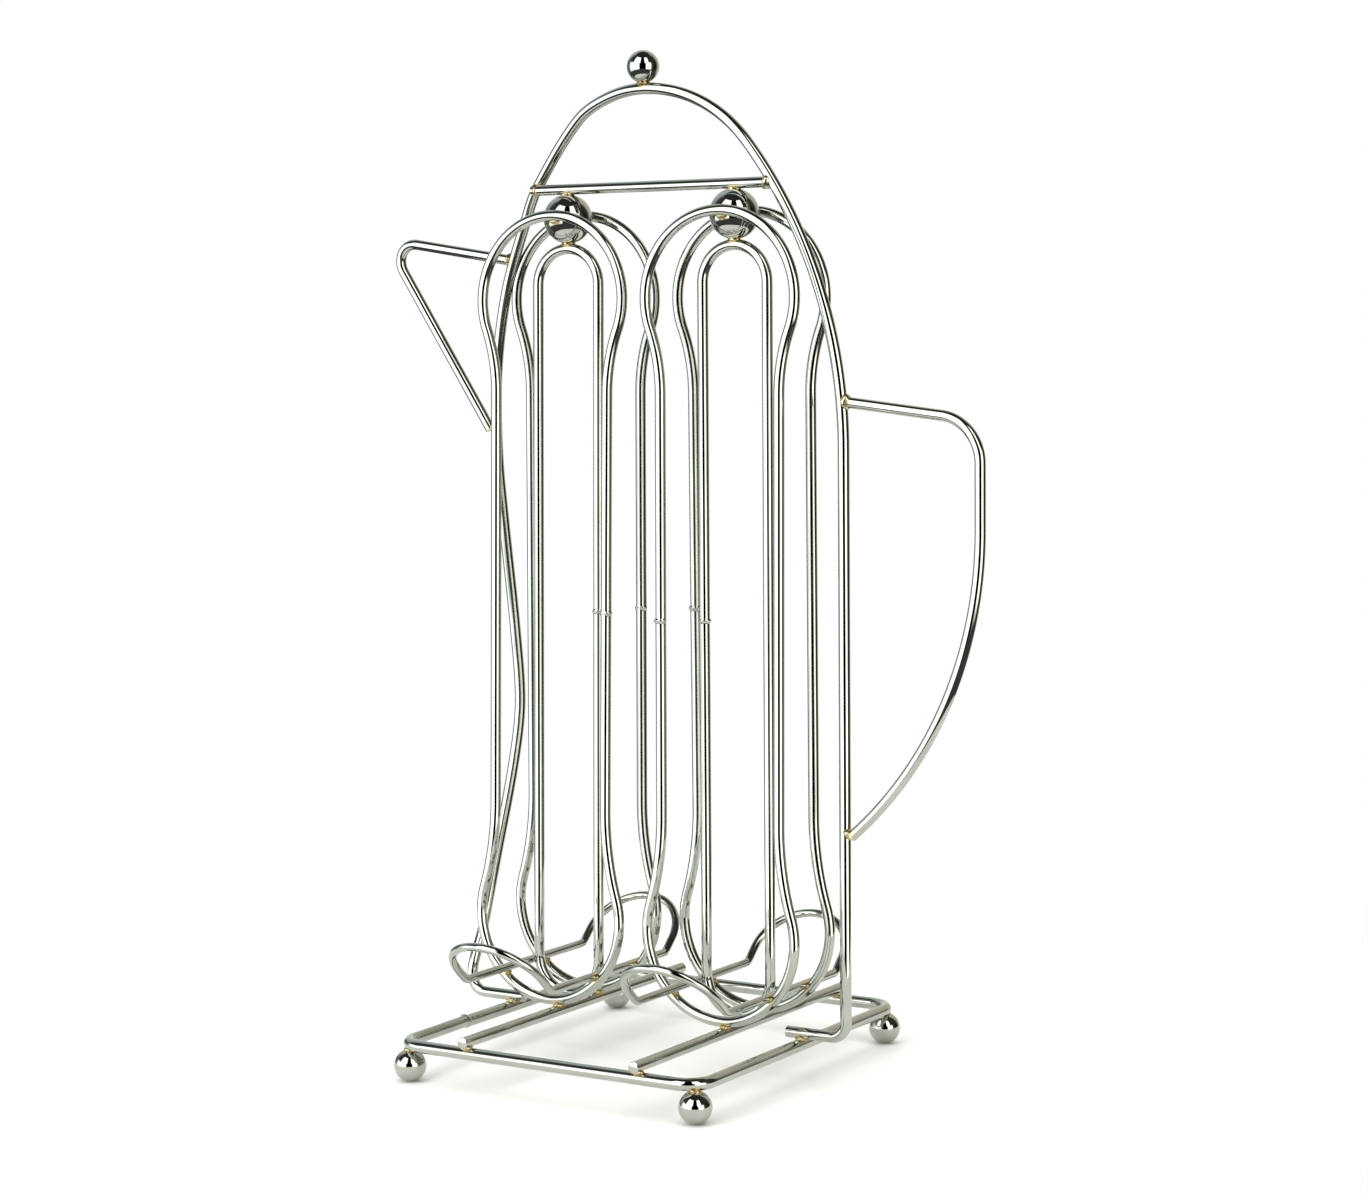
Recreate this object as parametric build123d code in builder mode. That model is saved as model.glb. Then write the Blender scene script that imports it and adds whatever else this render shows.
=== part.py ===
from build123d import *
from math import acos, atan2, cos, degrees, radians, sin, sqrt, tan
import os

# A welded-wire holder for small coffee capsules in the outline of a coffee pot, in millimetres.
# The origin is on the table under the middle of the base. X runs to the handle, Y to the back, Z up.

# wire stock and balls
thin_wire = 2.4
wire = 3.0
outline_wire = 3.2
ring_wire = 3.5
foot_ball = 9.0
joining_ball = 13.8
weld_sink = 0.15

# base
ring_width = 96.4
ring_depth = 108.4
ring_corner = 7.0
rod_length = 113.0
rod_x = {"left": -25.3, "right": 29.8}

# the two capsule columns
column_x = {"left": -28.3, "right": 28.3}
bulge_radius = 23.5
neck_half_width = 18.7
upper_neck_bend = 50.0
lower_neck_bend = 85.0
loop_height = 221.2
loop_foot_offset = 10.0
racetrack_half_width = 10.2
racetrack_height = 212.0

# cradles under the columns
cradle_shift = (1.0, -2.0)
rail_half_gap = 14.3
rail_half_length = 28.0
cradle_bend = 4.0
arch_leg = 3.5
arch_lean = 47.0

# pot outline
outline_half_width = 62.2
outline_crown_z = 271.8
side_top_z = 174.0
shoulder_radius = 130.0
stub_end_x = 43.8
stub_bend = 4.5
crossbar_setback = 5.2

# the left side of the outline is bowed to the back: (height, distance behind the middle plane)
left_bow = (
    (246, 7.0), (238, 8.8), (217, 11.8), (194, 14.6), (170, 16.6), (150, 19.2),
    (118, 24.2), (96, 26.2), (80, 23.0), (53, 13.5), (31, 5.5),
)

# spout and handle
spout_top = (225.7, 10.6)
spout_low = (177.0, 16.8)
spout_low_gap = 2.6
spout_tip = (96.5, 232.7)
spout_bend = 5.4
handle_top_z = 186.5
handle_slope = 6.6
handle_reach = 30.0
handle_bend = 12.5
handle_straight = 17.5
handle_curve = 110.0
handle_end_gap = 2.0

# heights that follow from the stack of touching pieces
foot_z = foot_ball / 2
ring_z = foot_ball + ring_wire / 2 - weld_sink
rod_z = ring_z + (ring_wire + outline_wire) / 2 - weld_sink
loop_bottom_z = rod_z + (outline_wire + wire) / 2 - weld_sink
racetrack_top_z = loop_bottom_z + racetrack_height
ball_z = racetrack_top_z + (wire + joining_ball) / 2 - weld_sink
crossbar_z = ball_z + (joining_ball + wire) / 2 - weld_sink
loop_offset = (joining_ball + wire) / 2 - weld_sink

# the crown arc meets the shoulder arc on one tangent
shoulder_inset = shoulder_radius - outline_half_width
rise = outline_crown_z - side_top_z
crown_radius = (shoulder_radius**2 - shoulder_inset**2 - rise**2) / (2 * (shoulder_radius - rise))
shoulder_angle = degrees(atan2(rise - crown_radius, shoulder_inset))


def outline_half_width_at(height):
    """Half width of the pot outline at a height."""
    if height <= side_top_z:
        return outline_half_width
    if height < side_top_z + shoulder_radius * sin(radians(shoulder_angle)):
        return sqrt(shoulder_radius**2 - (height - side_top_z) ** 2) - shoulder_inset
    return sqrt(crown_radius**2 - (height - outline_crown_z + crown_radius) ** 2)


def crossbar_y(x):
    """The crossbar runs from the right side of the outline to the left side, which is set back."""
    half = outline_half_width_at(crossbar_z)
    return crossbar_setback * (half - x) / (2 * half)


def standing_plane(x, foot_y, head_y):
    """Plane that stands on a rod at foot_y and leans to reach head_y at the joining ball."""
    lean = atan2(head_y - foot_y, ball_z - loop_bottom_z)
    return Plane(
        origin=(x, foot_y, loop_bottom_z), x_dir=(1, 0, 0), z_dir=(0, -cos(lean), sin(lean))
    )


def start_plane(line):
    """Plane square to the start of a line."""
    return Plane(origin=line @ 0, z_dir=line % 0)


def finish(piece, name):
    piece.part.label = name
    export_step(piece.part, f"parts/{name}.step")


def seat_on(*neighbours):
    """Cut the seats where the open part rests on its neighbours."""
    for neighbour in neighbours:
        add(neighbour.part, mode=Mode.SUBTRACT)


os.makedirs("parts", exist_ok=True)

# base ring: one closed wire with rounded corners
with BuildPart() as base_ring:
    with BuildLine(Plane.XY.offset(ring_z)) as ring_path:
        half_x = ring_width / 2
        half_y = ring_depth / 2
        FilletPolyline(
            (-half_x, -half_y), (half_x, -half_y), (half_x, half_y), (-half_x, half_y),
            radius=ring_corner,
            close=True,
        )
    with BuildSketch(start_plane(ring_path.line)):
        Circle(ring_wire / 2)
    sweep(path=ring_path.line)
finish(base_ring, "base_ring")

# foot balls under the corners of the ring
corner_inset = ring_corner * (1 - sqrt(0.5))
foot_x = ring_width / 2 - corner_inset
foot_y = ring_depth / 2 - corner_inset
for end, y in (("front", -foot_y), ("rear", foot_y)):
    for side, x in (("left", -foot_x), ("right", foot_x)):
        with BuildPart() as foot:
            with Locations((x, y, foot_z)):
                Sphere(foot_ball / 2)
            seat_on(base_ring)
        finish(foot, f"foot_ball_{end}_{side}")

# base rods from front to back on the ring
rods = {}
for side, x in rod_x.items():
    with BuildPart() as rod:
        with BuildSketch(Plane.XZ.offset(-rod_length / 2)):
            with Locations((x, rod_z)):
                Circle(outline_wire / 2)
        extrude(amount=rod_length)
        seat_on(base_ring)
    finish(rod, f"base_rod_{side}")
    rods[side] = rod


def neck_turn(bend_radius):
    """Angle through which a neck side bends before it runs into the bulge."""
    return degrees(acos((neck_half_width + bend_radius) / (bulge_radius + bend_radius)))


def keyhole_line():
    """Closed loop with a round bulge at both ends and a straight neck between them."""
    low_z = bulge_radius
    high_z = loop_height - bulge_radius
    high_turn = neck_turn(upper_neck_bend)
    low_turn = neck_turn(lower_neck_bend)
    high_bend_x = neck_half_width + upper_neck_bend
    low_bend_x = neck_half_width + lower_neck_bend
    high_bend_z = high_z - high_bend_x * tan(radians(high_turn))
    low_bend_z = low_z + low_bend_x * tan(radians(low_turn))
    Line((neck_half_width, loop_height / 2), (neck_half_width, high_bend_z))
    CenterArc((high_bend_x, high_bend_z), upper_neck_bend, 180, -high_turn)
    CenterArc((0, high_z), bulge_radius, -high_turn, 180 + 2 * high_turn)
    CenterArc((-high_bend_x, high_bend_z), upper_neck_bend, high_turn, -high_turn)
    Line((-neck_half_width, high_bend_z), (-neck_half_width, low_bend_z))
    CenterArc((-low_bend_x, low_bend_z), lower_neck_bend, 0, -low_turn)
    CenterArc((0, low_z), bulge_radius, 180 - low_turn, 180 + 2 * low_turn)
    CenterArc((low_bend_x, low_bend_z), lower_neck_bend, 180 + low_turn, -low_turn)
    Line((neck_half_width, low_bend_z), (neck_half_width, loop_height / 2))


def racetrack_line():
    """Closed loop with straight sides and half-round ends."""
    low_z = racetrack_half_width
    high_z = racetrack_height - racetrack_half_width
    Line((racetrack_half_width, racetrack_height / 2), (racetrack_half_width, high_z))
    CenterArc((0, high_z), racetrack_half_width, 0, 180)
    Line((-racetrack_half_width, high_z), (-racetrack_half_width, low_z))
    CenterArc((0, low_z), racetrack_half_width, 180, 180)
    Line((racetrack_half_width, low_z), (racetrack_half_width, racetrack_height / 2))


# keyhole loops at the front and rear of each column, with a racetrack between them
loops = {"left": [], "right": []}
racetracks = {}
for side, x in column_x.items():
    for end, facing in (("front", -1), ("rear", 1)):
        head_y = crossbar_y(x) + facing * loop_offset
        with BuildPart() as loop:
            with BuildLine(standing_plane(x, facing * loop_foot_offset, head_y)) as loop_path:
                keyhole_line()
            with BuildSketch(start_plane(loop_path.line)):
                Circle(wire / 2)
            sweep(path=loop_path.line)
            seat_on(rods[side])
        finish(loop, f"keyhole_loop_{end}_{side}")
        loops[side].append(loop)
    with BuildPart() as racetrack:
        with BuildLine(standing_plane(x, 0, crossbar_y(x))) as racetrack_path:
            racetrack_line()
        with BuildSketch(start_plane(racetrack_path.line)):
            Circle(wire / 2)
        sweep(path=racetrack_path.line)
        seat_on(rods[side])
    finish(racetrack, f"racetrack_{side}")
    racetracks[side] = racetrack

# joining balls between the two loops, over the racetrack
balls = {}
for side, x in column_x.items():
    with BuildPart() as ball:
        with Locations((x, crossbar_y(x), ball_z)):
            Sphere(joining_ball / 2)
        seat_on(racetracks[side], *loops[side])
    finish(ball, f"joining_ball_{side}")
    balls[side] = ball

# cradles: two rails inside the loops' lower bulges, with an arch bent up at each end
rail_radius = bulge_radius - (wire + thin_wire) / 2 + weld_sink
rail_z = loop_bottom_z + bulge_radius - sqrt(rail_radius**2 - rail_half_gap**2)


def arch_line(x, y, end):
    """Arch from the right rail over to the left rail, leaning outwards at one end (-1 front, 1 rear)."""
    lean = radians(arch_lean)
    along = Vector(0, end, 0)
    outward = Vector(0, end * sin(lean), cos(lean))
    corner = cradle_bend * Vector(0, end * cos(lean), 1 - sin(lean))
    right = Vector(x + rail_half_gap, y + end * rail_half_length, rail_z)
    leg_foot = right + corner
    leg_top = leg_foot + outward * arch_leg
    across = Vector(-2 * rail_half_gap, 0, 0)
    crown = leg_top + across / 2 + outward * rail_half_gap
    TangentArc(right, leg_foot, tangent=along)
    Line(leg_foot, leg_top)
    ThreePointArc(leg_top, crown, leg_top + across)
    Line(leg_top + across, leg_foot + across)
    TangentArc(right + across, leg_foot + across, tangent=along)


for side in column_x:
    x = column_x[side] + cradle_shift[0]
    y = cradle_shift[1]
    with BuildPart() as cradle:
        with BuildLine() as cradle_path:
            for rail_x in (x - rail_half_gap, x + rail_half_gap):
                Line((rail_x, y - rail_half_length, rail_z), (rail_x, y + rail_half_length, rail_z))
            arch_line(x, y, -1)
            arch_line(x, y, 1)
        with BuildSketch(start_plane(cradle_path.line)):
            Circle(thin_wire / 2)
        sweep(path=cradle_path.line)
        seat_on(*loops[side])
    finish(cradle, f"cradle_{side}")

# pot outline: one wire from stub to stub, its left side bowed back
stub_z = ring_z + (ring_wire + outline_wire) / 2 - weld_sink
side_start_z = stub_z + stub_bend
left_points = [(-outline_half_width_at(height), setback, height) for height, setback in left_bow]
with BuildPart() as pot_outline:
    with BuildLine() as outline_path:
        for x in (-outline_half_width, outline_half_width):
            inner_x = x - stub_bend if x > 0 else x + stub_bend
            stub_x = stub_end_x if x > 0 else -stub_end_x
            Line((stub_x, 0, stub_z), (inner_x, 0, stub_z))
            TangentArc((inner_x, 0, stub_z), (x, 0, side_start_z), tangent=(x, 0, 0))
        Line((outline_half_width, 0, side_start_z), (outline_half_width, 0, side_top_z))
        shoulder_x = shoulder_radius * cos(radians(shoulder_angle)) - shoulder_inset
        shoulder_z = side_top_z + shoulder_radius * sin(radians(shoulder_angle))
        shoulder = TangentArc(
            (outline_half_width, 0, side_top_z), (shoulder_x, 0, shoulder_z), tangent=(0, 0, 1)
        )
        crown = TangentArc(shoulder @ 1, (0, 0, outline_crown_z), tangent=shoulder % 1)
        Spline(
            crown @ 1, *left_points, (-outline_half_width, 0, side_start_z),
            tangents=(crown % 1, (0, 0, -1)),
            tangent_scalars=(0.8, 0.5),
        )
    with BuildSketch(start_plane(outline_path.line)):
        Circle(outline_wire / 2)
    sweep(path=outline_path.line)
    seat_on(base_ring, *loops["left"])
finish(pot_outline, "pot_outline")

# crossbar over the joining balls, its ends let into the outline
with BuildPart() as crossbar:
    with BuildLine() as crossbar_path:
        half = outline_half_width_at(crossbar_z)
        Line((half, 0, crossbar_z), (-half, crossbar_setback, crossbar_z))
    with BuildSketch(start_plane(crossbar_path.line)):
        Circle(wire / 2)
    sweep(path=crossbar_path.line)
    seat_on(pot_outline, *balls.values())
finish(crossbar, "crossbar")

# finial ball on the crown
with BuildPart() as finial:
    with Locations((0, 0, outline_crown_z + (outline_wire + foot_ball) / 2 - weld_sink)):
        Sphere(foot_ball / 2)
    seat_on(pot_outline)
finish(finial, "finial_ball")

# spout: a bent wire in the leaning plane of the outline's upper left side
def spout_point(x, z):
    top_z, top_y = spout_top
    low_z, low_y = spout_low
    return (-x, top_y + (low_y - top_y) * (top_z - z) / (top_z - low_z), z)


with BuildPart() as spout:
    with BuildLine() as spout_path:
        FilletPolyline(
            spout_point(outline_half_width_at(spout_top[0]), spout_top[0]),
            spout_point(*spout_tip),
            spout_point(outline_half_width + spout_low_gap, spout_low[0]),
            radius=spout_bend,
        )
    with BuildSketch(start_plane(spout_path.line)):
        Circle(wire / 2)
    sweep(path=spout_path.line)
    seat_on(pot_outline)
finish(spout, "spout")

# handle: out from the outline's right side, down, and back in on a long curve
with BuildPart() as handle:
    with BuildLine(Plane.XZ) as handle_path:
        handle_x = outline_half_width_at(handle_top_z)
        reach = (handle_x + handle_reach, handle_top_z - handle_reach * sin(radians(handle_slope)))
        top = Line((handle_x, handle_top_z), reach)
        bend = JernArc(top @ 1, top % 1, handle_bend, handle_slope - 90)
        drop = Line(bend @ 1, bend @ 1 + bend % 1 * handle_straight)
        inward = ((drop @ 1).X - outline_half_width - handle_end_gap) / handle_curve
        JernArc(drop @ 1, drop % 1, handle_curve, -degrees(atan2(sqrt(1 - (1 - inward) ** 2), 1 - inward)))
    with BuildSketch(start_plane(handle_path.line)):
        Circle(wire / 2)
    sweep(path=handle_path.line)
    seat_on(pot_outline)
finish(handle, "handle")
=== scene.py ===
import math
import bpy
import numpy as np
from mathutils import Matrix, Vector, noise


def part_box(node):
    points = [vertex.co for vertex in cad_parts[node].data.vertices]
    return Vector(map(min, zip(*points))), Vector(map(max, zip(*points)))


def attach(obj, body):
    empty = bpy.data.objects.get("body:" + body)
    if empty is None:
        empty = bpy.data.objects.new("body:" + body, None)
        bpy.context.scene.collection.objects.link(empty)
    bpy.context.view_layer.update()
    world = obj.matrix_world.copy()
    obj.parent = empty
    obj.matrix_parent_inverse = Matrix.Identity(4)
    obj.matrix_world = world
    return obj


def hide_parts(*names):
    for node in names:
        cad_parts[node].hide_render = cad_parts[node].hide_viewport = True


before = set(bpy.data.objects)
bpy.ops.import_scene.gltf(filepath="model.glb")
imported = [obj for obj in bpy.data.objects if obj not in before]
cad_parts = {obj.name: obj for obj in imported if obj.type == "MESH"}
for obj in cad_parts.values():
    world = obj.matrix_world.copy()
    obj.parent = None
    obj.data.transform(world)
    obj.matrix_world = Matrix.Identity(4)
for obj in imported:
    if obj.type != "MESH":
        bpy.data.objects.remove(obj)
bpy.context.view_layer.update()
print("frame loaded,", len(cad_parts), "nodes")

mm = 0.001  # every size below is in millimetres

wireGauge = {"thin": 1.2, "loop": 1.5, "outline": 1.6, "ring": 1.75}  # radii of the four wires
ballGauge = {"foot": 4.5, "joining": 6.9}
weldSink = 0.15
beadSink = 0.1  # how far a bead sits inside the touching surfaces
ballBeadSink = 0.05


def nodeBox(node):
    low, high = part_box(node)
    return low / mm, high / mm


# heights of the stack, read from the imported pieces
ringZ = nodeBox("base_ring")[1].z - wireGauge["ring"]
rodZ = nodeBox("base_rod_left")[1].z - wireGauge["outline"]
loopFootZ = rodZ + wireGauge["outline"] + wireGauge["loop"] - weldSink
ballZ = (nodeBox("joining_ball_left")[0].z + nodeBox("joining_ball_left")[1].z) / 2
crossbarZ = nodeBox("crossbar")[1].z - wireGauge["loop"]
crownZ = nodeBox("pot_outline")[1].z - wireGauge["outline"]


# drawing helpers: paths are lists of points
def arc(centre, radius, start, turn, step=1.0):
    count = max(4, int(abs(math.radians(turn)) * radius / step))
    angles = [math.radians(start + turn * i / count) for i in range(count + 1)]
    return [(centre[0] + radius * math.cos(a), centre[1] + radius * math.sin(a)) for a in angles]


def straight(start, end, step=2.0):
    start, end = Vector(start), Vector(end)
    count = max(1, int((end - start).length / step))
    return [start.lerp(end, i / count) for i in range(count + 1)]


def chain(*runs):
    # one path from several runs, without the points that two runs share
    path = []
    for run in runs:
        for point in run:
            point = Vector(point)
            if not path or (point - path[-1]).length > 1e-3:
                path.append(point)
    return path


def roundCorner(before, corner, after, radius):
    inward = (Vector(before) - Vector(corner)).normalized()
    onward = (Vector(after) - Vector(corner)).normalized()
    half = inward.angle(onward) / 2
    middle = Vector(corner) + (inward + onward).normalized() * radius / math.sin(half)
    first = (Vector(corner) + inward * radius / math.tan(half) - middle).normalized()
    last = (Vector(corner) + onward * radius / math.tan(half) - middle).normalized()
    count = max(6, int((math.pi - 2 * half) * radius / 0.6))
    return [middle + first.slerp(last, i / count) * radius for i in range(count + 1)]


def smoothThrough(points, startSlope, endSlope, step=1.5):
    # a smooth run through given points, with a set slope at both ends
    points = [Vector(p) for p in points]
    slopes = []
    for i in range(1, len(points) - 1):
        reach = (points[i + 1] - points[i]).length + (points[i] - points[i - 1]).length
        slopes.append((points[i + 1] - points[i - 1]) / reach)
    slopes = [Vector(startSlope).normalized()] + slopes + [Vector(endSlope).normalized()]
    run = []
    for i in range(len(points) - 1):
        span = (points[i + 1] - points[i]).length
        count = max(2, int(span / step))
        for k in range(count + 1):
            t = k / count
            run.append(points[i] * (2 * t**3 - 3 * t**2 + 1) + slopes[i] * span * (t**3 - 2 * t**2 + t)
                       + points[i + 1] * (3 * t**2 - 2 * t**3) + slopes[i + 1] * span * (t**3 - t**2))
    return run


# welds: every joint between two pieces, as (place, direction across the joint, radius, height)
welds = []
weldSize = {  # (radius, height) of each bead
    "rodOnRing": (1.75, 0.75), "outlineOnRing": (1.8, 0.75), "foot": (1.75, 0.6), "finial": (1.8, 0.6),
    "loopOnRod": (1.5, 0.7), "loopOnBall": (1.9, 0.7), "ballEnd": (1.9, 0.75), "cradle": (1.35, 0.6),
    "crossbarRight": (2.1, 1.6), "crossbarLeft": (1.9, 1.1), "spoutTop": (1.9, 1.1), "spoutLow": (1.5, 0.8),
    "handleTop": (2.1, 1.4), "handleLow": (1.9, 1.2),
}


def weld(place, across, kind):
    welds.append((Vector(place), Vector(across).normalized(), *weldSize[kind]))


# mesh helpers
def turningFrames(points, closed):
    # frames carried along the path without twist, the leftover twist of a closed path shared out
    count = len(points)
    tangents = []
    for i in range(count):
        ahead = points[(i + 1) % count] if closed or i < count - 1 else points[i]
        behind = points[i - 1] if closed or i > 0 else points[i]
        tangents.append((ahead - behind).normalized())
    side = tangents[0].orthogonal().normalized()
    sides = [side]
    for i in range(1, count):
        side = tangents[i - 1].rotation_difference(tangents[i]) @ side
        side = (side - tangents[i] * side.dot(tangents[i])).normalized()
        sides.append(side)
    if closed:
        last = tangents[-1].rotation_difference(tangents[0]) @ side
        twist = math.atan2(last.cross(sides[0]).dot(tangents[0]), last.dot(sides[0]))
        sides = [Matrix.Rotation(twist * i / count, 3, tangents[i]) @ sides[i] for i in range(count)]
    return [(t, s, t.cross(s)) for t, s in zip(tangents, sides)]


seamShape = {  # butt weld of a closed wire
    "ridge": 0.50, "width": 0.50, "even": 0.55, "uneven": 0.75,
    "step": 0.22, "reach": 8.0, "heat": 1.3, "heatFrom": 0.2, "fineReach": 2.5, "fineStep": 0.15,
}
seamPlaces = []
cutEnd = {"bevel": 0.14, "inset": 0.2, "middle": 0.17}  # the square-cut end of an open wire


def seamPush(along, seams, angle):
    # how far the skin stands out near a butt weld: a thin uneven ridge
    push = 0.0
    for place in seams:
        away = (along - place) / seamShape["width"]
        if abs(away) < 4:
            around = noise.noise(Vector((math.cos(angle), math.sin(angle), place)))
            uneven = seamShape["even"] + seamShape["uneven"] * around
            push += seamShape["ridge"] * uneven * math.exp(-away * away)
    return push


def startAwayFrom(points, spot):
    # turns a closed path so that it starts opposite the butt weld, and says how far along the weld then is
    nearest = min(range(len(points)), key=lambda i: (points[i] - spot).length)
    first = (nearest + len(points) // 2) % len(points)
    points = points[first:] + points[:first]
    nearest = (nearest - first) % len(points)
    return points, sum((points[i] - points[i - 1]).length for i in range(1, nearest + 1))


def refine(points, seams):
    # adds points close to each seam so that its ridge has enough mesh
    if not seams:
        return points
    fine = []
    along = 0.0
    for i, point in enumerate(points):
        fine.append(point)
        if i + 1 < len(points):
            span = (points[i + 1] - point).length
            near = seamShape["fineReach"]
            if any(along - near < s < along + span + near for s in seams):
                parts = max(1, int(span / seamShape["fineStep"]))
                fine.extend(point.lerp(points[i + 1], k / parts) for k in range(1, parts))
            along += span
    return fine


def wireMesh(name, points, radius, closed=False, seams=(), sides=28):
    points = refine(points, seams)
    frames = turningFrames(points, closed)
    vertices, faces, reach = [], [], []
    along = 0.0
    for i, (point, (_, side, over)) in enumerate(zip(points, frames)):
        along += (point - points[i - 1]).length if i else 0.0
        for place in seams:
            if along > place:  # the two ends of the wire never meet quite true
                point = point + side * seamShape["step"] * math.exp((place - along) / seamShape["reach"])
            elif along > place - seamShape["heatFrom"]:
                seamPlaces.append(point)
        for k in range(sides):
            angle = 2 * math.pi * k / sides
            out = side * math.cos(angle) + over * math.sin(angle)
            vertices.append(point + out * (radius + seamPush(along, seams, angle)))
            reach.append((angle, along))
    count = len(points)
    for i in range(count if closed else count - 1):
        for k in range(sides):
            j, m = (i + 1) % count, (k + 1) % sides
            faces.append((i * sides + k, i * sides + m, j * sides + m, j * sides + k))
    if not closed:
        for i, way in ((0, -1), (count - 1, 1)):  # cut ends with a small burr-free bevel
            tangent, side, over = frames[i]
            ring = len(vertices)
            for k in range(sides):
                angle = 2 * math.pi * k / sides
                out = side * math.cos(angle) + over * math.sin(angle)
                rim = points[i] + tangent * way * cutEnd["bevel"]
                vertices.append(rim + out * (radius - cutEnd["inset"]))
                reach.append((angle, along if i else 0.0))
            middle = len(vertices)
            vertices.append(points[i] + tangent * way * cutEnd["middle"])
            reach.append((0.0, along if i else 0.0))
            for k in range(sides):
                m = (k + 1) % sides
                faces.append((i * sides + k, ring + k, ring + m, i * sides + m)[::-way])
                faces.append((ring + k, middle, ring + m)[::-way])
    mesh = bpy.data.meshes.new(name)
    mesh.from_pydata([v * mm for v in vertices], [], faces)
    wrap = mesh.uv_layers.new(name="wireMap")
    for loop in mesh.loops:
        angle, run = reach[loop.vertex_index]
        wrap.data[loop.index].uv = (angle / (2 * math.pi), run / 100)
    return mesh


def onSphere(polar, angle):
    flat = math.sin(polar)
    return Vector((flat * math.cos(angle), flat * math.sin(angle), math.cos(polar)))


def ballMesh(name, centre, radius, rings=48, sides=72):
    vertices = [Vector(centre) + Vector((0, 0, radius))]
    for i in range(1, rings):
        polar = math.pi * i / rings
        for k in range(sides):
            angle = 2 * math.pi * k / sides
            vertices.append(Vector(centre) + onSphere(polar, angle) * radius)
    vertices.append(Vector(centre) - Vector((0, 0, radius)))
    last = len(vertices) - 1
    faces = [(0, 1 + k, 1 + (k + 1) % sides) for k in range(sides)]
    for i in range(rings - 2):
        for k in range(sides):
            a, b = 1 + i * sides + k, 1 + i * sides + (k + 1) % sides
            faces.append((a, a + sides, b + sides, b))
    first = last - sides
    faces += [(last, first + (k + 1) % sides, first + k) for k in range(sides)]
    mesh = bpy.data.meshes.new(name)
    mesh.from_pydata([v * mm for v in vertices], [], faces)
    return mesh


pieces = []


def place(mesh, slotName, *nodes):
    # puts a finished mesh in the scene, riding on the one body
    mesh.polygons.foreach_set("use_smooth", [True] * len(mesh.polygons))
    mesh.update()
    piece = bpy.data.objects.new(mesh.name, mesh)
    bpy.context.collection.objects.link(piece)
    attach(piece, "root")
    if nodes:
        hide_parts(*nodes)
    pieces.append(piece)
    return piece


def sharpRims(mesh, limit=40):
    # keeps the edges of cut ends crisp
    mesh.update()
    normals = {}
    for face in mesh.polygons:
        for key in face.edge_keys:
            normals.setdefault(key, []).append(face.normal.copy())
    for edge in mesh.edges:
        pair = normals.get(tuple(sorted(edge.vertices)), [])
        edge.use_edge_sharp = len(pair) == 2 and pair[0].angle(pair[1], 0) > math.radians(limit)


def wire(name, points, gauge, closed=False, seamSpot=None):
    seams = ()
    if seamSpot:
        points, along = startAwayFrom(points, Vector(seamSpot))
        seams = (along,)
    mesh = wireMesh(name + "_wire", points, wireGauge[gauge], closed, seams)
    if not closed:
        sharpRims(mesh)
    return place(mesh, "chrome_wire", name)


# base: ring, rods and feet
baseShape = {"width": 96.4, "depth": 108.4, "corner": 7.0, "rodLength": 113.0, "seamY": -23.0}
halfX, halfY = baseShape["width"] / 2, baseShape["depth"] / 2
corners = [(-halfX, -halfY, ringZ), (halfX, -halfY, ringZ), (halfX, halfY, ringZ), (-halfX, halfY, ringZ)]
ringRuns = []
for i in range(4):
    ringRuns.append(roundCorner(corners[i - 1], corners[i], corners[(i + 1) % 4], baseShape["corner"]))
ringPath = []
for i in range(4):
    ringPath = chain(ringPath, ringRuns[i], straight(ringRuns[i][-1], ringRuns[(i + 1) % 4][0]))
ringPath.pop()
wire("base_ring", ringPath, "ring", closed=True, seamSpot=(-halfX, baseShape["seamY"], ringZ))

rodX = {}
for side in ("left", "right"):
    low, high = nodeBox("base_rod_" + side)
    rodX[side] = (low.x + high.x) / 2
    half = baseShape["rodLength"] / 2 - cutEnd["middle"]
    wire("base_rod_" + side, straight((rodX[side], -half, rodZ), (rodX[side], half, rodZ)), "outline")
    for y in (-halfY, halfY):
        weld((rodX[side], y, ringZ + wireGauge["ring"]), (0, 0, 1), "rodOnRing")
print("base ring and rods made")

cornerInset = baseShape["corner"] * (1 - math.sqrt(0.5))
for end, y in (("front", -halfY + cornerInset), ("rear", halfY - cornerInset)):
    for side, x in (("left", -halfX + cornerInset), ("right", halfX - cornerInset)):
        name = "foot_ball_" + end + "_" + side
        place(ballMesh(name + "_ball", (x, y, ballGauge["foot"]), ballGauge["foot"]), "chrome_ball", name)
        weld((x, y, 2 * ballGauge["foot"] - ballBeadSink), (0, 0, 1), "foot")
print("feet made")


# columns: keyhole loops and racetracks, all standing planes that lean a little
columnShape = {
    "x": {"left": -28.3, "right": 28.3},
    "bulge": 23.5, "neck": 18.7, "highBend": 50.0, "lowBend": 85.0, "height": 221.2,
    "footOffset": 10.0, "trackHalf": 10.2, "trackHeight": 212.0,
    "crossbarSetback": 5.2,
}
outlineShape = {
    "half": 62.2, "sideTop": 174.0, "shoulder": 130.0, "stubEnd": 43.8, "stubBend": 4.5,
    # the crown turns back to the left: (radians from the top, distance behind the middle plane)
    "crownBow": ((0, 0), (0.3, 1.6), (0.6, 3.8)),
    # the left side is bowed to the back: (height, distance behind the middle plane)
    "bow": ((246, 7.0), (238, 8.8), (217, 11.8), (194, 14.6), (170, 16.6), (150, 19.2),
            (118, 24.2), (96, 26.2), (80, 23.0), (53, 13.5), (31, 5.5)),
}
shoulderInset = outlineShape["shoulder"] - outlineShape["half"]
rise = crownZ - outlineShape["sideTop"]
crownRadius = outlineShape["shoulder"] ** 2 - shoulderInset**2 - rise**2
crownRadius /= 2 * (outlineShape["shoulder"] - rise)
shoulderAngle = math.atan2(rise - crownRadius, shoulderInset)


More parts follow.
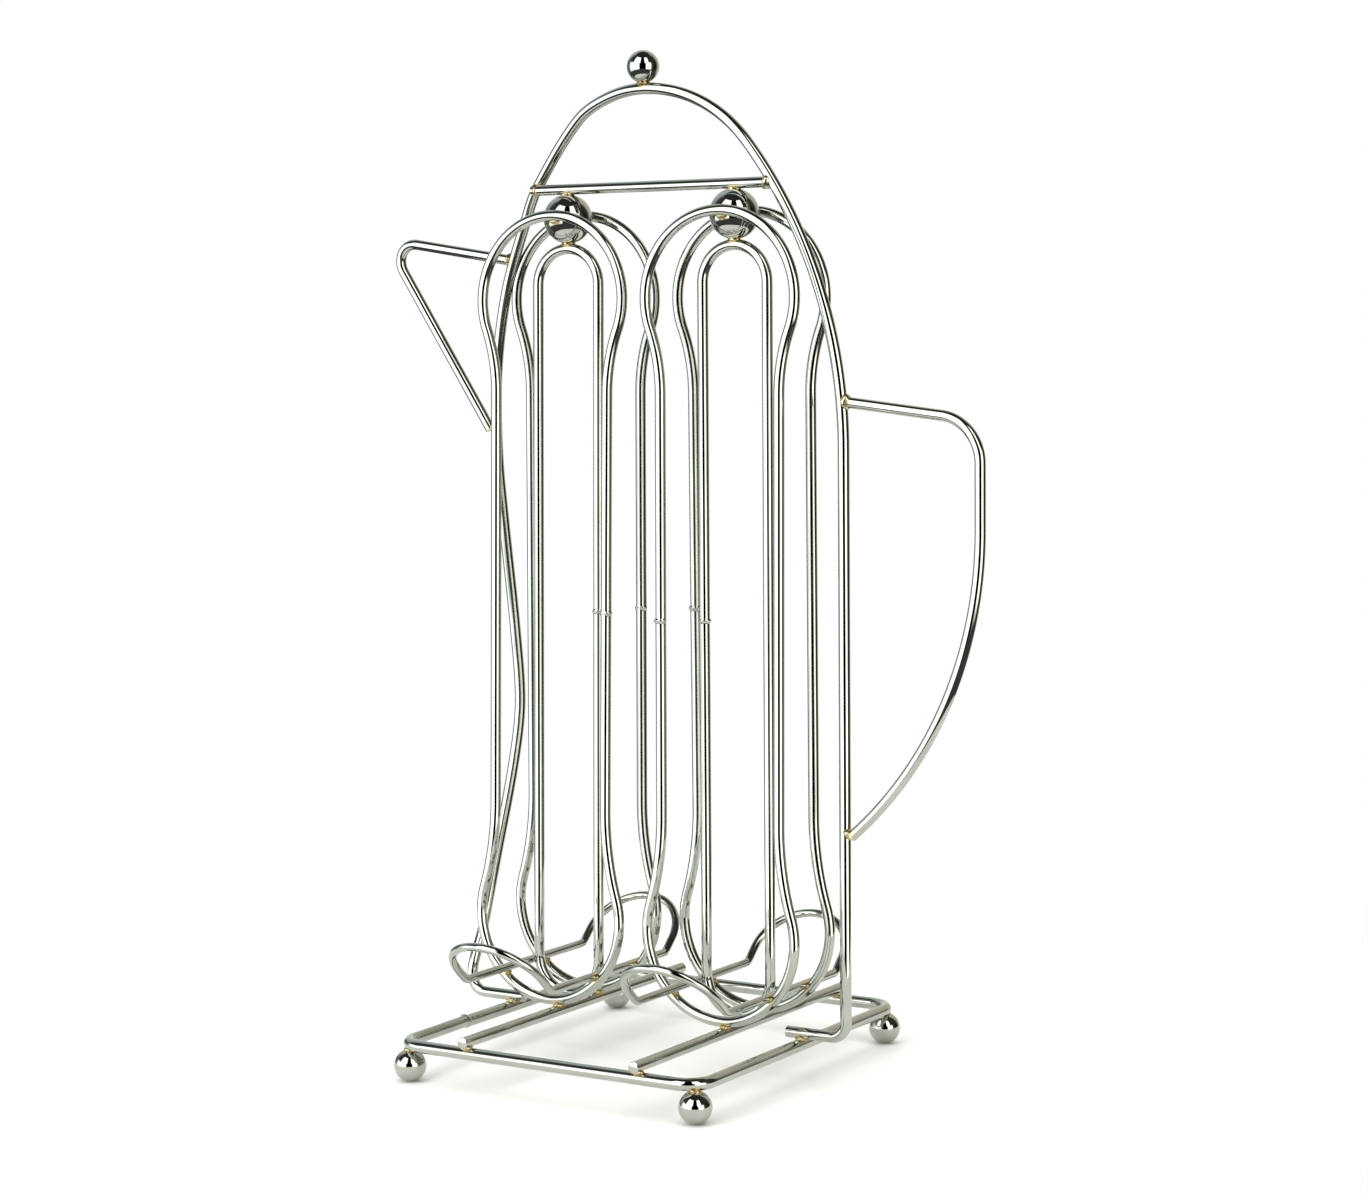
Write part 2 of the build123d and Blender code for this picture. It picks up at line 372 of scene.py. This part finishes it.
def outlineHalf(height):
    if height <= outlineShape["sideTop"]:
        return outlineShape["half"]
    above = height - outlineShape["sideTop"]
    if height < outlineShape["sideTop"] + outlineShape["shoulder"] * math.sin(shoulderAngle):
        return math.sqrt(outlineShape["shoulder"] ** 2 - above**2) - shoulderInset
    return math.sqrt(max(crownRadius**2 - (height - crownZ + crownRadius) ** 2, 0))


def crossbarY(x):
    half = outlineHalf(crossbarZ)
    return columnShape["crossbarSetback"] * (half - x) / (2 * half)


def stand(flat, x, footY, headY):
    # lifts a flat drawing (across, up) into the plane that leans from footY to headY
    lean = math.atan2(headY - footY, ballZ - loopFootZ)
    return [Vector((x + u, footY + v * math.sin(lean), loopFootZ + v * math.cos(lean))) for u, v in flat]


def keyholeDrawing(c):
    low, high, neck = c["bulge"], c["height"] - c["bulge"], c["neck"]
    turns = [math.degrees(math.acos((neck + c[b]) / (c["bulge"] + c[b]))) for b in ("highBend", "lowBend")]
    highX, lowX = neck + c["highBend"], neck + c["lowBend"]
    highBendZ = high - highX * math.tan(math.radians(turns[0]))
    lowBendZ = low + lowX * math.tan(math.radians(turns[1]))
    middle = c["height"] / 2
    return chain(
        [(neck, middle)], straight((neck, middle), (neck, highBendZ)),
        arc((highX, highBendZ), c["highBend"], 180, -turns[0]),
        arc((0, high), c["bulge"], -turns[0], 180 + 2 * turns[0]),
        arc((-highX, highBendZ), c["highBend"], turns[0], -turns[0]),
        straight((-neck, highBendZ), (-neck, lowBendZ)),
        arc((-lowX, lowBendZ), c["lowBend"], 0, -turns[1]),
        arc((0, low), c["bulge"], 180 - turns[1], 180 + 2 * turns[1]),
        arc((lowX, lowBendZ), c["lowBend"], 180 + turns[1], -turns[1]),
        straight((neck, lowBendZ), (neck, middle)),
    )[:-1]


def racetrackDrawing(c):
    half, top = c["trackHalf"], c["trackHeight"] - c["trackHalf"]
    return chain(
        straight((half, c["trackHeight"] / 2), (half, top)), arc((0, top), half, 0, 180, 0.7),
        straight((-half, top), (-half, half)), arc((0, half), half, 180, 180, 0.7),
        straight((half, half), (half, c["trackHeight"] / 2)),
    )[:-1]


# butt welds: on which hand of the loop or racetrack, and how high
seamSpots = {
    "front_left": (1, 127.0), "rear_left": (1, 128.0), "left": (1, 126.0),
    "front_right": (-1, 126.0), "rear_right": (-1, 127.4), "right": (-1, 125.4),
}
ballReach = ballGauge["joining"] + wireGauge["loop"] - weldSink
for side, x in columnShape["x"].items():
    top = crossbarY(x)
    for end, facing in (("front", -1), ("rear", 1)):
        flat = keyholeDrawing(columnShape)
        path = stand(flat, x, facing * columnShape["footOffset"], top + facing * ballReach)
        hand, seamZ = seamSpots[end + "_" + side]
        spot = (x + hand * columnShape["neck"], facing * columnShape["footOffset"], seamZ)
        wire("keyhole_loop_" + end + "_" + side, path, "loop", closed=True, seamSpot=spot)
        foot = (rodX[side], facing * columnShape["footOffset"], rodZ + wireGauge["outline"])
        weld(foot, (0, 0, 1), "loopOnRod")
        weld((x, top + facing * (ballGauge["joining"] - beadSink), ballZ), (0, facing, 0), "loopOnBall")
    path = stand(racetrackDrawing(columnShape), x, 0, top)
    hand, seamZ = seamSpots[side]
    spot = (x + hand * columnShape["trackHalf"], 0, seamZ)
    wire("racetrack_" + side, path, "loop", closed=True, seamSpot=spot)
    weld((rodX[side], 0, rodZ + wireGauge["outline"]), (0, 0, 1), "loopOnRod")
    name = "joining_ball_" + side
    place(ballMesh(name + "_ball", (x, top, ballZ), ballGauge["joining"]), "chrome_ball", name)
    weld((x, top, ballZ - ballGauge["joining"]), (0, 0, 1), "ballEnd")
    weld((x, top, ballZ + ballGauge["joining"]), (0, 0, 1), "ballEnd")
print("loops, racetracks and joining balls made")

# cradles: two rails and an arch at each end, one closed wire
cradleShape = {
    "shift": (1.0, -2.0), "halfGap": 14.3, "halfLength": 28.0, "bend": 4.0, "leg": 3.5, "lean": 47.0,
}
railRadius = columnShape["bulge"] - wireGauge["loop"] - wireGauge["thin"] + weldSink
railZ = loopFootZ + columnShape["bulge"] - math.sqrt(railRadius**2 - cradleShape["halfGap"] ** 2)


def cradleArch(x, y, end, c):
    # from the right rail over to the left rail, in a plane that leans outwards
    lean = math.radians(c["lean"])
    up = Vector((0, end * math.sin(lean), math.cos(lean)))
    rail = Vector((x + c["halfGap"], y + end * c["halfLength"], railZ))
    centre = rail + Vector((0, 0, c["bend"]))
    turn = math.radians(90) - lean
    bend = [centre + Vector((0, end * math.sin(t), -math.cos(t))) * c["bend"]
            for t in (turn * i / 8 for i in range(9))]
    legTop = bend[-1] + up * c["leg"]
    middle = legTop - Vector((c["halfGap"], 0, 0))
    bow = [middle + Vector((math.cos(a), 0, 0)) * c["halfGap"] + up * math.sin(a) * c["halfGap"]
           for a in (math.pi * i / 40 for i in range(41))]
    across = Vector((-2 * c["halfGap"], 0, 0))
    return chain(bend, straight(bend[-1], legTop), bow, [p + across for p in reversed(bend)])


for side, columnX in columnShape["x"].items():
    x, y = columnX + cradleShape["shift"][0], cradleShape["shift"][1]
    rear = cradleArch(x, y, 1, cradleShape)
    front = list(reversed(cradleArch(x, y, -1, cradleShape)))
    path = chain(rear, straight(rear[-1], front[0]), front, straight(front[-1], rear[0]))[:-1]
    wire("cradle_" + side, path, "thin", closed=True)
    for facing in (-1, 1):
        for hand in (-1, 1):
            loopCentre = Vector((columnX, 0, loopFootZ + columnShape["bulge"]))
            across = hand * cradleShape["halfGap"] + cradleShape["shift"][0]
            out = Vector((across, 0, railZ - loopFootZ - columnShape["bulge"]))
            spot = loopCentre + out.normalized() * (columnShape["bulge"] - wireGauge["loop"])
            spot.y = facing * (columnShape["footOffset"] - beadSink)
            weld(spot, out, "cradle")
print("cradles made")

# pot outline, crossbar and finial
stubZ = ringZ + wireGauge["ring"] + wireGauge["outline"] - weldSink
half, bend = outlineShape["half"], outlineShape["stubBend"]


def lower(x):
    # stub on the ring and the bend up into the side
    way = math.copysign(1, x)
    flat = arc((abs(x) - bend, stubZ + bend), bend, -90, 90, 0.5)
    stubStart = outlineShape["stubEnd"] + cutEnd["middle"]
    stub = straight((way * stubStart, 0, stubZ), (way * (abs(x) - bend), 0, stubZ))
    return chain(stub, [(way * u, 0, v) for u, v in flat])


shoulderTurn = math.degrees(shoulderAngle)
shoulderArc = arc((-shoulderInset, outlineShape["sideTop"]), outlineShape["shoulder"], 0, shoulderTurn, 1.5)
crownArc = arc((0, crownZ - crownRadius), crownRadius, shoulderTurn, 90 - shoulderTurn, 1.2)
leftPoints = [(-crownRadius * math.sin(t), y, crownZ - crownRadius * (1 - math.cos(t)))
              for t, y in outlineShape["crownBow"]]
leftPoints += [(-outlineHalf(h), y, h) for h, y in outlineShape["bow"]]
leftPoints.append((-half, 0, stubZ + bend))
outlinePath = chain(
    lower(half), straight((half, 0, stubZ + bend), (half, 0, outlineShape["sideTop"])),
    [(u, 0, v) for u, v in shoulderArc], [(u, 0, v) for u, v in crownArc],
    smoothThrough(leftPoints, (-1, 0, 0), (0, 0, -1)), list(reversed(lower(-half))),
)
wire("pot_outline", outlinePath, "outline")
for way in (-1, 1):
    weld((way * halfX, 0, ringZ + wireGauge["ring"]), (0, 0, 1), "outlineOnRing")

barHalf = outlineHalf(crossbarZ)
barEnd = Vector((-barHalf, columnShape["crossbarSetback"], crossbarZ))
wire("crossbar", straight((barHalf - 0.2, 0, crossbarZ), barEnd + Vector((0.2, 0, 0))), "loop")
weld((barHalf - 1.5, -0.2, crossbarZ), (1, 0, -0.4), "crossbarRight")
weld(barEnd + Vector((1.5, 0, 0)), (1, 0, 0.4), "crossbarLeft")
finialZ = crownZ + wireGauge["outline"] + ballGauge["foot"] - weldSink
place(ballMesh("finial_ball_ball", (0, 0, finialZ), ballGauge["foot"]), "chrome_ball", "finial_ball")
weld((0, 0, crownZ + wireGauge["outline"] - ballBeadSink), (0, 0, 1), "finial")
print("outline, crossbar and finial made")

# spout and handle
spoutShape = {"top": (225.7, 10.6), "low": (177.0, 16.8), "lowGap": 2.6, "tip": (96.5, 232.7), "bend": 5.4}
handleShape = {
    "top": 186.5, "slope": 6.6, "reach": 30.0, "bend": 12.5, "straight": 17.5, "curve": 110.0, "endGap": 2.0,
}


def spoutPoint(x, z):
    (topZ, topY), (lowZ, lowY) = spoutShape["top"], spoutShape["low"]
    return Vector((-x, topY + (lowY - topY) * (topZ - z) / (topZ - lowZ), z))


spoutTop = spoutPoint(outlineHalf(spoutShape["top"][0]), spoutShape["top"][0])
spoutTip = spoutPoint(*spoutShape["tip"])
spoutLow = spoutPoint(half + spoutShape["lowGap"], spoutShape["low"][0])
tipRun = roundCorner(spoutTop, spoutTip, spoutLow, spoutShape["bend"])
spoutStart = spoutTop + (tipRun[0] - spoutTop).normalized() * 0.8
wire("spout", chain(straight(spoutStart, tipRun[0]), tipRun, straight(tipRun[-1], spoutLow)), "loop")
weld(spoutTop + (spoutTip - spoutTop).normalized() * 1.6, spoutTip - spoutTop, "spoutTop")
weld(spoutLow + Vector((1.2, 0, 0.4)), (1, 0, 0.3), "spoutLow")


def handleRun(s):
    # out from the side, round the corner, down, and back in on a long curve
    slope = math.atan(math.sin(math.radians(s["slope"])))
    start = Vector((outlineHalf(s["top"]), s["top"]))
    reachEnd = start + Vector((s["reach"], -s["reach"] * math.tan(slope)))
    turn = 90 - s["slope"]
    centre = reachEnd - Vector((math.sin(slope), math.cos(slope))) * s["bend"]
    corner = arc(centre, s["bend"], 90 - math.degrees(slope), -turn, 0.8)
    heading = -slope - math.radians(turn)
    along = Vector((math.cos(heading), math.sin(heading)))
    drop = Vector(corner[-1]) + along * s["straight"]
    inner = Vector((along.y, -along.x))
    curveCentre = drop + inner * s["curve"]
    startAngle = math.degrees(math.atan2(-inner.y, -inner.x))
    endTurn = math.degrees(math.acos(1 - (drop.x - half - s["endGap"]) / s["curve"]))
    flat = chain(straight(start, reachEnd), corner, straight(corner[-1], drop),
                 arc(curveCentre, s["curve"], startAngle, -endTurn, 1.2))
    return [Vector((u, 0, v)) for u, v in flat]


handlePath = handleRun(handleShape)
wire("handle", handlePath, "loop")
weld(handlePath[0] + Vector((1.7, -0.2, -0.1)), (1, 0, 0), "handleTop")
weld(handlePath[-1] + Vector((-0.6, -0.3, 0.6)), (1, 0, 1), "handleLow")
print("spout and handle made")

# weld beads: small uneven lenses squeezed out between the pieces
beadShape = {"rings": 12, "sides": 24, "lumps": 0.22, "lumpSize": 1.1, "baseTop": 17.5, "cradleTop": 40}


def beadMesh(name, group):
    vertices, faces = [], []
    rings, sides = beadShape["rings"], beadShape["sides"]
    for centre, across, radius, height in group:
        turn = across.to_track_quat("Z", "Y")
        base = len(vertices)
        for i in range(rings + 1):
            polar = math.pi * i / rings
            for k in range(sides if 0 < i < rings else 1):
                angle = 2 * math.pi * k / sides
                out = onSphere(polar, angle)
                lump = 1 + beadShape["lumps"] * noise.noise(out * beadShape["lumpSize"] + centre * 3.1)
                lens = Vector((out.x * radius, out.y * radius, out.z * height))
                vertices.append(centre + turn @ lens * lump)
        rows = [[base]] + [[base + 1 + (i - 1) * sides + k for k in range(sides)] for i in range(1, rings)]
        rows.append([base + 1 + (rings - 1) * sides])
        for i in range(rings):
            for k in range(sides):
                m = (k + 1) % sides
                if i == 0:
                    faces.append((rows[0][0], rows[1][k], rows[1][m]))
                elif i == rings - 1:
                    faces.append((rows[i][k], rows[i + 1][0], rows[i][m]))
                else:
                    faces.append((rows[i][k], rows[i + 1][k], rows[i + 1][m], rows[i][m]))
    mesh = bpy.data.meshes.new(name)
    mesh.from_pydata([v * mm for v in vertices], [], faces)
    return mesh


beadGroups = {"base_beads": [], "cradle_beads": [], "upper_beads": []}
for bead in welds:
    height = bead[0].z
    if height < beadShape["baseTop"]:
        beadGroups["base_beads"].append(bead)
    elif height < beadShape["cradleTop"]:
        beadGroups["cradle_beads"].append(bead)
    else:
        beadGroups["upper_beads"].append(bead)
for name, group in beadGroups.items():
    place(beadMesh(name, group), "chrome_wire")
print(len(welds), "weld beads made")


# heat of the welds, kept on the mesh for the paint: 1 at a weld, 0 a few millimetres away
heatReach = 3.6
weldPlaces = np.array([w[0] for w in welds])
for piece in pieces:
    count = len(piece.data.vertices)
    spots = np.empty(count * 3)
    piece.data.vertices.foreach_get("co", spots)
    spots = spots.reshape(-1, 3) / mm
    warmth = np.zeros(count)
    for reach, places in ((heatReach, weldPlaces), (seamShape["heat"], seamPlaces)):
        for weldPlace in places:
            warmth = np.maximum(warmth, 1 - np.linalg.norm(spots - np.array(weldPlace), axis=1) / reach)
    heat = piece.data.attributes.new("weldHeat", "FLOAT", "POINT")
    heat.data.foreach_set("value", warmth)


# materials
def addNode(tree, kind, **values):
    made = tree.nodes.new(kind)
    for key, value in values.items():
        if hasattr(made, key):
            setattr(made, key, value)
        else:
            made.inputs[key.replace("_", " ")].default_value = value
    return made


def rampNode(tree, source, stops):
    ramp = tree.nodes.new("ShaderNodeValToRGB")
    while len(ramp.color_ramp.elements) < len(stops):
        ramp.color_ramp.elements.new(0.5)
    for element, (position, colour) in zip(ramp.color_ramp.elements, stops):
        element.position = position
        element.color = (*colour, 1)
    tree.links.new(source, ramp.inputs[0])
    return ramp.outputs[0]


chromeLook = {
    "plate": ((0.395, 0.41, 0.36), (0.455, 0.465, 0.425)),
    "straw": (0.80, 0.61, 0.20), "brown": (0.26, 0.16, 0.05),
    "gloss": (0.012, 0.035), "ripple": 0.00001, "pits": 0.0000012,
    "cloudScale": 90.0, "blotchScale": 1100.0, "streakScale": 14.0, "ballGrainScale": 700.0,
    "rippleScale": 160.0, "pitScale": 2600.0, "heatFrom": 0.12, "heatFull": 0.40, "heatRough": 0.22,
}


def chromeMaterial(name, look, heatTint, stretched):
    material = bpy.data.materials.new(name)
    material.use_nodes = True
    tree = material.node_tree
    link = tree.links.new
    shader = tree.nodes["Principled BSDF"]
    shader.inputs["Metallic"].default_value = 1.0
    place = addNode(tree, "ShaderNodeTexCoord").outputs["Object"]
    cloud = addNode(tree, "ShaderNodeTexNoise", Scale=look["cloudScale"], Detail=4.0)
    link(place, cloud.inputs["Vector"])
    plate = rampNode(tree, cloud.outputs["Fac"], ((0.35, look["plate"][0]), (0.65, look["plate"][1])))
    heat = addNode(tree, "ShaderNodeAttribute", attribute_name="weldHeat").outputs["Fac"]
    blotch = addNode(tree, "ShaderNodeTexNoise", Scale=look["blotchScale"], Detail=5.0, Roughness=0.65)
    link(place, blotch.inputs["Vector"])
    patchy = addNode(tree, "ShaderNodeMath", operation="MULTIPLY")
    link(heat, patchy.inputs[0])
    link(blotch.outputs["Fac"], patchy.inputs[1])
    heatStops = ((look["heatFrom"], (0, 0, 0)), (look["heatFull"], (heatTint,) * 3))
    strength = rampNode(tree, patchy.outputs[0], heatStops)
    tint = rampNode(tree, blotch.outputs["Fac"], ((0.42, look["straw"]), (0.68, look["brown"])))
    paint = addNode(tree, "ShaderNodeMix", data_type="RGBA")
    link(strength, paint.inputs[0])
    link(plate, paint.inputs[6])
    link(tint, paint.inputs[7])
    link(paint.outputs[2], shader.inputs["Base Color"])

    # drawn-wire streaks run along the wire; on the balls the same noise is even
    streaks = addNode(tree, "ShaderNodeTexNoise", Scale=look["streakScale"], Detail=6.0)
    if stretched:
        wrap = addNode(tree, "ShaderNodeUVMap", uv_map="wireMap")
        stretch = addNode(tree, "ShaderNodeMapping")
        stretch.inputs["Scale"].default_value = (3.0, 1.2, 1.0)
        link(wrap.outputs[0], stretch.inputs["Vector"])
        link(stretch.outputs[0], streaks.inputs["Vector"])
    else:
        streaks.inputs["Scale"].default_value = look["ballGrainScale"]
        link(place, streaks.inputs["Vector"])
    gloss = addNode(tree, "ShaderNodeMapRange")
    gloss.inputs["To Min"].default_value, gloss.inputs["To Max"].default_value = look["gloss"]
    link(streaks.outputs["Fac"], gloss.inputs["Value"])
    rough = addNode(tree, "ShaderNodeMath", operation="MULTIPLY_ADD")
    link(strength, rough.inputs[0])
    rough.inputs[1].default_value = look["heatRough"]
    link(gloss.outputs["Result"], rough.inputs[2])
    link(rough.outputs[0], shader.inputs["Roughness"])

    ripple = addNode(tree, "ShaderNodeTexNoise", Scale=look["rippleScale"], Detail=2.0)
    link(place, ripple.inputs["Vector"])
    pits = addNode(tree, "ShaderNodeTexNoise", Scale=look["pitScale"], Detail=3.0)
    link(place, pits.inputs["Vector"])
    wave = addNode(tree, "ShaderNodeBump", Strength=0.35)
    wave.inputs["Distance"].default_value = look["ripple"]
    link(ripple.outputs["Fac"], wave.inputs["Height"])
    grain = addNode(tree, "ShaderNodeBump", Strength=0.5)
    grain.inputs["Distance"].default_value = look["pits"]
    link(pits.outputs["Fac"], grain.inputs["Height"])
    link(wave.outputs[0], grain.inputs["Normal"])
    link(grain.outputs[0], shader.inputs["Normal"])
    return material


wireChrome = chromeMaterial("wireChrome", chromeLook, 0.9, True)
ballChrome = chromeMaterial("ballChrome", chromeLook, 0.9, False)
beadChrome = chromeMaterial("beadChrome", {**chromeLook, "gloss": (0.10, 0.22), "pits": 0.0001}, 0.9, False)
for piece in pieces:
    isBead = piece.name.endswith("beads")
    isBall = piece.name.endswith("ball")
    piece.data.materials.append(beadChrome if isBead else ballChrome if isBall else wireChrome)
print("materials made")

# stage: pale floor
stageLook = {"radius": 250.0, "backShift": 60.0, "colour": (0.935, 0.935, 0.91)}
cameraSetup = {
    "place": (461.6, -724.7, 209.7), "yaw": 31.833, "pitch": 5.249, "roll": -0.51,
    "lens": 81.521053, "sensor": 36.0, "clip": (0.01, 20),
}
yaw, pitch = math.radians(cameraSetup["yaw"]), math.radians(cameraSetup["pitch"])
awayFromCamera = Vector((-math.sin(yaw), math.cos(yaw), 0))
floorCentre = awayFromCamera * stageLook["backShift"]
floorSides = 96
floorMesh = bpy.data.meshes.new("floor")
floorMesh.from_pydata(
    [(floorCentre + Vector((math.cos(a), math.sin(a), 0)) * stageLook["radius"]) * mm
     for a in (2 * math.pi * k / floorSides for k in range(floorSides))], [], [tuple(range(floorSides))])
floor = bpy.data.objects.new("floor", floorMesh)
bpy.context.collection.objects.link(floor)
paper = bpy.data.materials.new("palePaper")
paper.use_nodes = True
paperShader = paper.node_tree.nodes["Principled BSDF"]
paperShader.inputs["Roughness"].default_value = 0.7
paperPlace = addNode(paper.node_tree, "ShaderNodeTexCoord").outputs["Object"]
paperNoise = addNode(paper.node_tree, "ShaderNodeTexNoise", Scale=400.0, Detail=4.0)
paper.node_tree.links.new(paperPlace, paperNoise.inputs["Vector"])
paperTone = rampNode(paper.node_tree, paperNoise.outputs["Fac"],
                     ((0.3, tuple(c * 0.99 for c in stageLook["colour"])), (0.7, stageLook["colour"])))
paper.node_tree.links.new(paperTone, paperShader.inputs["Base Color"])
floorMesh.materials.append(paper)

# light: a white studio all round, given as brightness by direction round the camera's side
studioLight = {
    "strength": 4.0,
    # (degrees to the right of the camera, brightness), at eye level and higher up
    "level": ((-180, 0.9), (-156, 0.85), (-149, 0.30), (-119, 0.15), (-108, 0.8), (-90, 3.3), (-29, 3.3),
              (-24, 0.0), (19, 0.0), (25, 3.3), (56, 3.3), (64, 0.15), (86, 0.01), (112, 0.06),
              (126, 0.70), (180, 0.9)),
    "high": ((-180, 0.8), (-135, 0.7), (-112, 0.08), (-74, 0.05), (-67, 3.3), (-22, 3.3),
             (-17, 0.0), (12, 0.0), (16, 3.3), (39, 3.3), (45, 0.03), (110, 0.06), (126, 0.7), (180, 0.8)),
    "coolSide": (0.92, 1.02, 1.04), "warmSide": (1.06, 1.0, 0.86), "coolFrom": -80, "warmFrom": 50,
    "overheadPower": 19.0, "overheadHeight": 1500.0, "overheadSize": 1.6,
    "highFrom": 16.0, "highFull": 26.0, "boxTop": 56.0, "boxFade": 5.0, "ceiling": 0.04,
    "lowFrom": -24.0, "lowFull": -17.0, "belowBench": 0.08,
}
world = bpy.data.worlds.new("studio")
bpy.context.scene.world = world
world.use_nodes = True
tree = world.node_tree
link = tree.links.new
background = tree.nodes["Background"]
direction = addNode(tree, "ShaderNodeTexCoord").outputs["Generated"]


def dotWith(vector):
    made = addNode(tree, "ShaderNodeVectorMath", operation="DOT_PRODUCT")
    link(direction, made.inputs[0])
    made.inputs[1].default_value = vector
    return made.outputs["Value"]


def grey(brightness):
    return (*(brightness / studioLight["strength"],) * 3, 1)


def tinted(angle, brightness):
    # the left of the studio is a little cooler and the right a little warmer
    tint = (1, 1, 1)
    if angle < studioLight["coolFrom"]:
        tint = studioLight["coolSide"]
    elif angle > studioLight["warmFrom"]:
        tint = studioLight["warmSide"]
    return tuple(brightness * t for t in tint)


rightHand = Vector((math.cos(yaw), math.sin(yaw), 0))
bearing = addNode(tree, "ShaderNodeMath", operation="ARCTAN2")
link(dotWith(rightHand), bearing.inputs[0])
link(dotWith(-awayFromCamera), bearing.inputs[1])
turnShare = addNode(tree, "ShaderNodeMapRange")
turnShare.inputs["From Min"].default_value, turnShare.inputs["From Max"].default_value = -math.pi, math.pi
link(bearing.outputs[0], turnShare.inputs["Value"])

def lightRing(ring):
    stops = [((a + 180) / 360, tinted(a, b / studioLight["strength"])) for a, b in ring]
    return rampNode(tree, turnShare.outputs["Result"], stops)


levelRing, highRing = lightRing(studioLight["level"]), lightRing(studioLight["high"])
height = dotWith(Vector((0, 0, 1)))


def fadeUp(lowAngle, highAngle):
    made = addNode(tree, "ShaderNodeMapRange")
    made.inputs["From Min"].default_value = math.sin(math.radians(lowAngle))
    made.inputs["From Max"].default_value = math.sin(math.radians(highAngle))
    link(height, made.inputs["Value"])
    return made.outputs["Result"]


rings = addNode(tree, "ShaderNodeMix", data_type="RGBA")
link(fadeUp(studioLight["highFrom"], studioLight["highFull"]), rings.inputs[0])
link(levelRing, rings.inputs[6])
link(highRing, rings.inputs[7])
sky = addNode(tree, "ShaderNodeMix", data_type="RGBA")
link(fadeUp(studioLight["boxTop"], studioLight["boxTop"] + studioLight["boxFade"]), sky.inputs[0])
link(rings.outputs[2], sky.inputs[6])
sky.inputs[7].default_value = grey(studioLight["ceiling"])
bench = addNode(tree, "ShaderNodeMix", data_type="RGBA")
link(fadeUp(studioLight["lowFrom"], studioLight["lowFull"]), bench.inputs[0])
bench.inputs[6].default_value = grey(studioLight["belowBench"])
link(sky.outputs[2], bench.inputs[7])
link(bench.outputs[2], background.inputs["Color"])
background.inputs["Strength"].default_value = studioLight["strength"]
plain = addNode(tree, "ShaderNodeBackground", Strength=1.0)
plain.inputs["Color"].default_value = (1.0, 1.0, 1.0, 1)
choose = addNode(tree, "ShaderNodeMixShader")
link(addNode(tree, "ShaderNodeLightPath").outputs["Is Camera Ray"], choose.inputs[0])
link(background.outputs[0], choose.inputs[1])
link(plain.outputs[0], choose.inputs[2])
link(choose.outputs[0], tree.nodes["World Output"].inputs["Surface"])
bpy.context.scene.view_settings.view_transform = "Standard"
overheadLight = bpy.data.objects.new("overhead", bpy.data.lights.new("overhead", "AREA"))
overheadLight.data.energy = studioLight["overheadPower"]
overheadLight.data.size = studioLight["overheadSize"]
overheadLight.location = (0, 0, studioLight["overheadHeight"] * mm)
overheadLight.visible_glossy = False
bpy.context.collection.objects.link(overheadLight)
print("light and floor made")

# camera
forward = Vector((-math.sin(yaw) * math.cos(pitch), math.cos(yaw) * math.cos(pitch), -math.sin(pitch)))
levelUp = rightHand.cross(forward)
roll = math.radians(cameraSetup["roll"])
right = rightHand * math.cos(roll) + levelUp * math.sin(roll)
up = levelUp * math.cos(roll) - rightHand * math.sin(roll)
camera = bpy.data.objects.new("camera", bpy.data.cameras.new("camera"))
bpy.context.collection.objects.link(camera)
camera.matrix_world = Matrix((
    (right.x, up.x, -forward.x, cameraSetup["place"][0] * mm),
    (right.y, up.y, -forward.y, cameraSetup["place"][1] * mm),
    (right.z, up.z, -forward.z, cameraSetup["place"][2] * mm),
    (0, 0, 0, 1),
))
camera.data.sensor_width = cameraSetup["sensor"]
camera.data.lens = cameraSetup["lens"]
camera.data.clip_start, camera.data.clip_end = cameraSetup["clip"]
bpy.context.scene.camera = camera
print("camera set")
